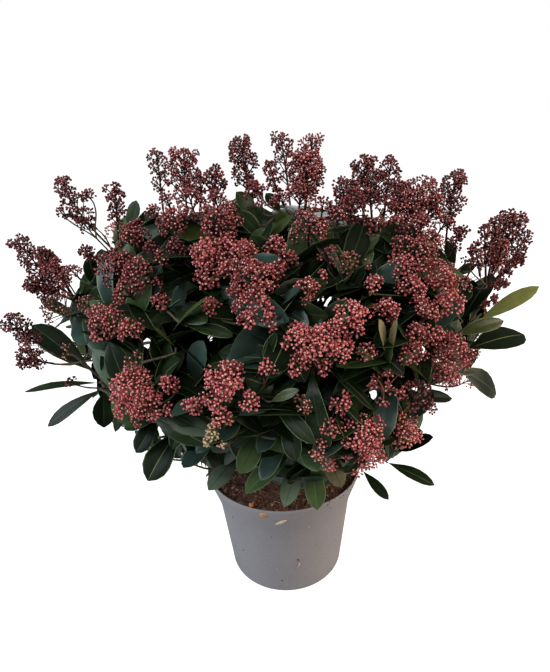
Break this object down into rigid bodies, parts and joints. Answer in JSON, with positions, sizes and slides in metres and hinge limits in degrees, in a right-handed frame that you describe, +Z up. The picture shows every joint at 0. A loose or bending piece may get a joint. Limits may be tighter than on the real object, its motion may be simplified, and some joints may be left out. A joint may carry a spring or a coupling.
{
  "type": "potted skimmia shrub",
  "caption": "Broad evergreen skimmia in red flower bud, one short stem forking into tapering boughs under uneven leaf masses, growing in a round tapered nursery pot.",
  "frame": {"origin": "middle of the flat underside of the pot, on the surface it stands on", "axes": "+Z up; the plant's front, the side seen in the picture, faces -Y; +X to the right in that view"},
  "size_m": [0.7467, 0.6109, 0.6835],
  "materials": {
    "pot_plastic": "matte",
    "soil": "matte",
    "bark": "matte",
    "leaf_deep_green": "satin",
    "leaf_dark_green": "satin",
    "bud_dark_red": "matte",
    "bud_pink_red": "matte"
  },
  "bodies": {
    "root": {"bough_shoulder_1": "bark", "bough_shoulder_2": "bark", "bough_shoulder_3": "bark", "bough_shoulder_4": "bark", "bough_shoulder_5": "bark", "bough_shoulder_6": "bark", "bough_side_1": "bark", "bough_side_2": "bark", "bough_side_3": "bark", "bough_side_4": "bark", "bough_side_5": "bark", "bough_side_6": "bark", "bough_side_7": "bark", "bough_side_8": "bark", "bough_skirt_1": "bark", "bough_skirt_2": "bark", "bough_skirt_3": "bark", "bough_skirt_4": "bark", "bough_skirt_5": "bark", "bough_skirt_6": "bark", "bough_top_1": "bark", "bough_top_2": "bark", "mass_shoulder_1": "bud_dark_red", "mass_shoulder_2": "bud_dark_red", "mass_shoulder_3": "bud_dark_red", "mass_shoulder_4": "bud_dark_red", "mass_shoulder_5": "bud_dark_red", "mass_shoulder_6": "bud_dark_red", "mass_side_1": "leaf_dark_green", "mass_side_2": "leaf_dark_green", "mass_side_3": "leaf_dark_green", "mass_side_4": "leaf_dark_green", "mass_side_5": "leaf_dark_green", "mass_side_6": "leaf_dark_green", "mass_side_7": "leaf_dark_green", "mass_side_8": "leaf_dark_green", "mass_skirt_1": "leaf_deep_green", "mass_skirt_2": "leaf_deep_green", "mass_skirt_3": "leaf_deep_green", "mass_skirt_4": "leaf_deep_green", "mass_skirt_5": "leaf_deep_green", "mass_skirt_6": "leaf_deep_green", "mass_top_1": "bud_pink_red", "mass_top_2": "bud_pink_red", "pot": "pot_plastic", "soil": "soil", "stem_base": "bark"}
  },
  "joints": []
}
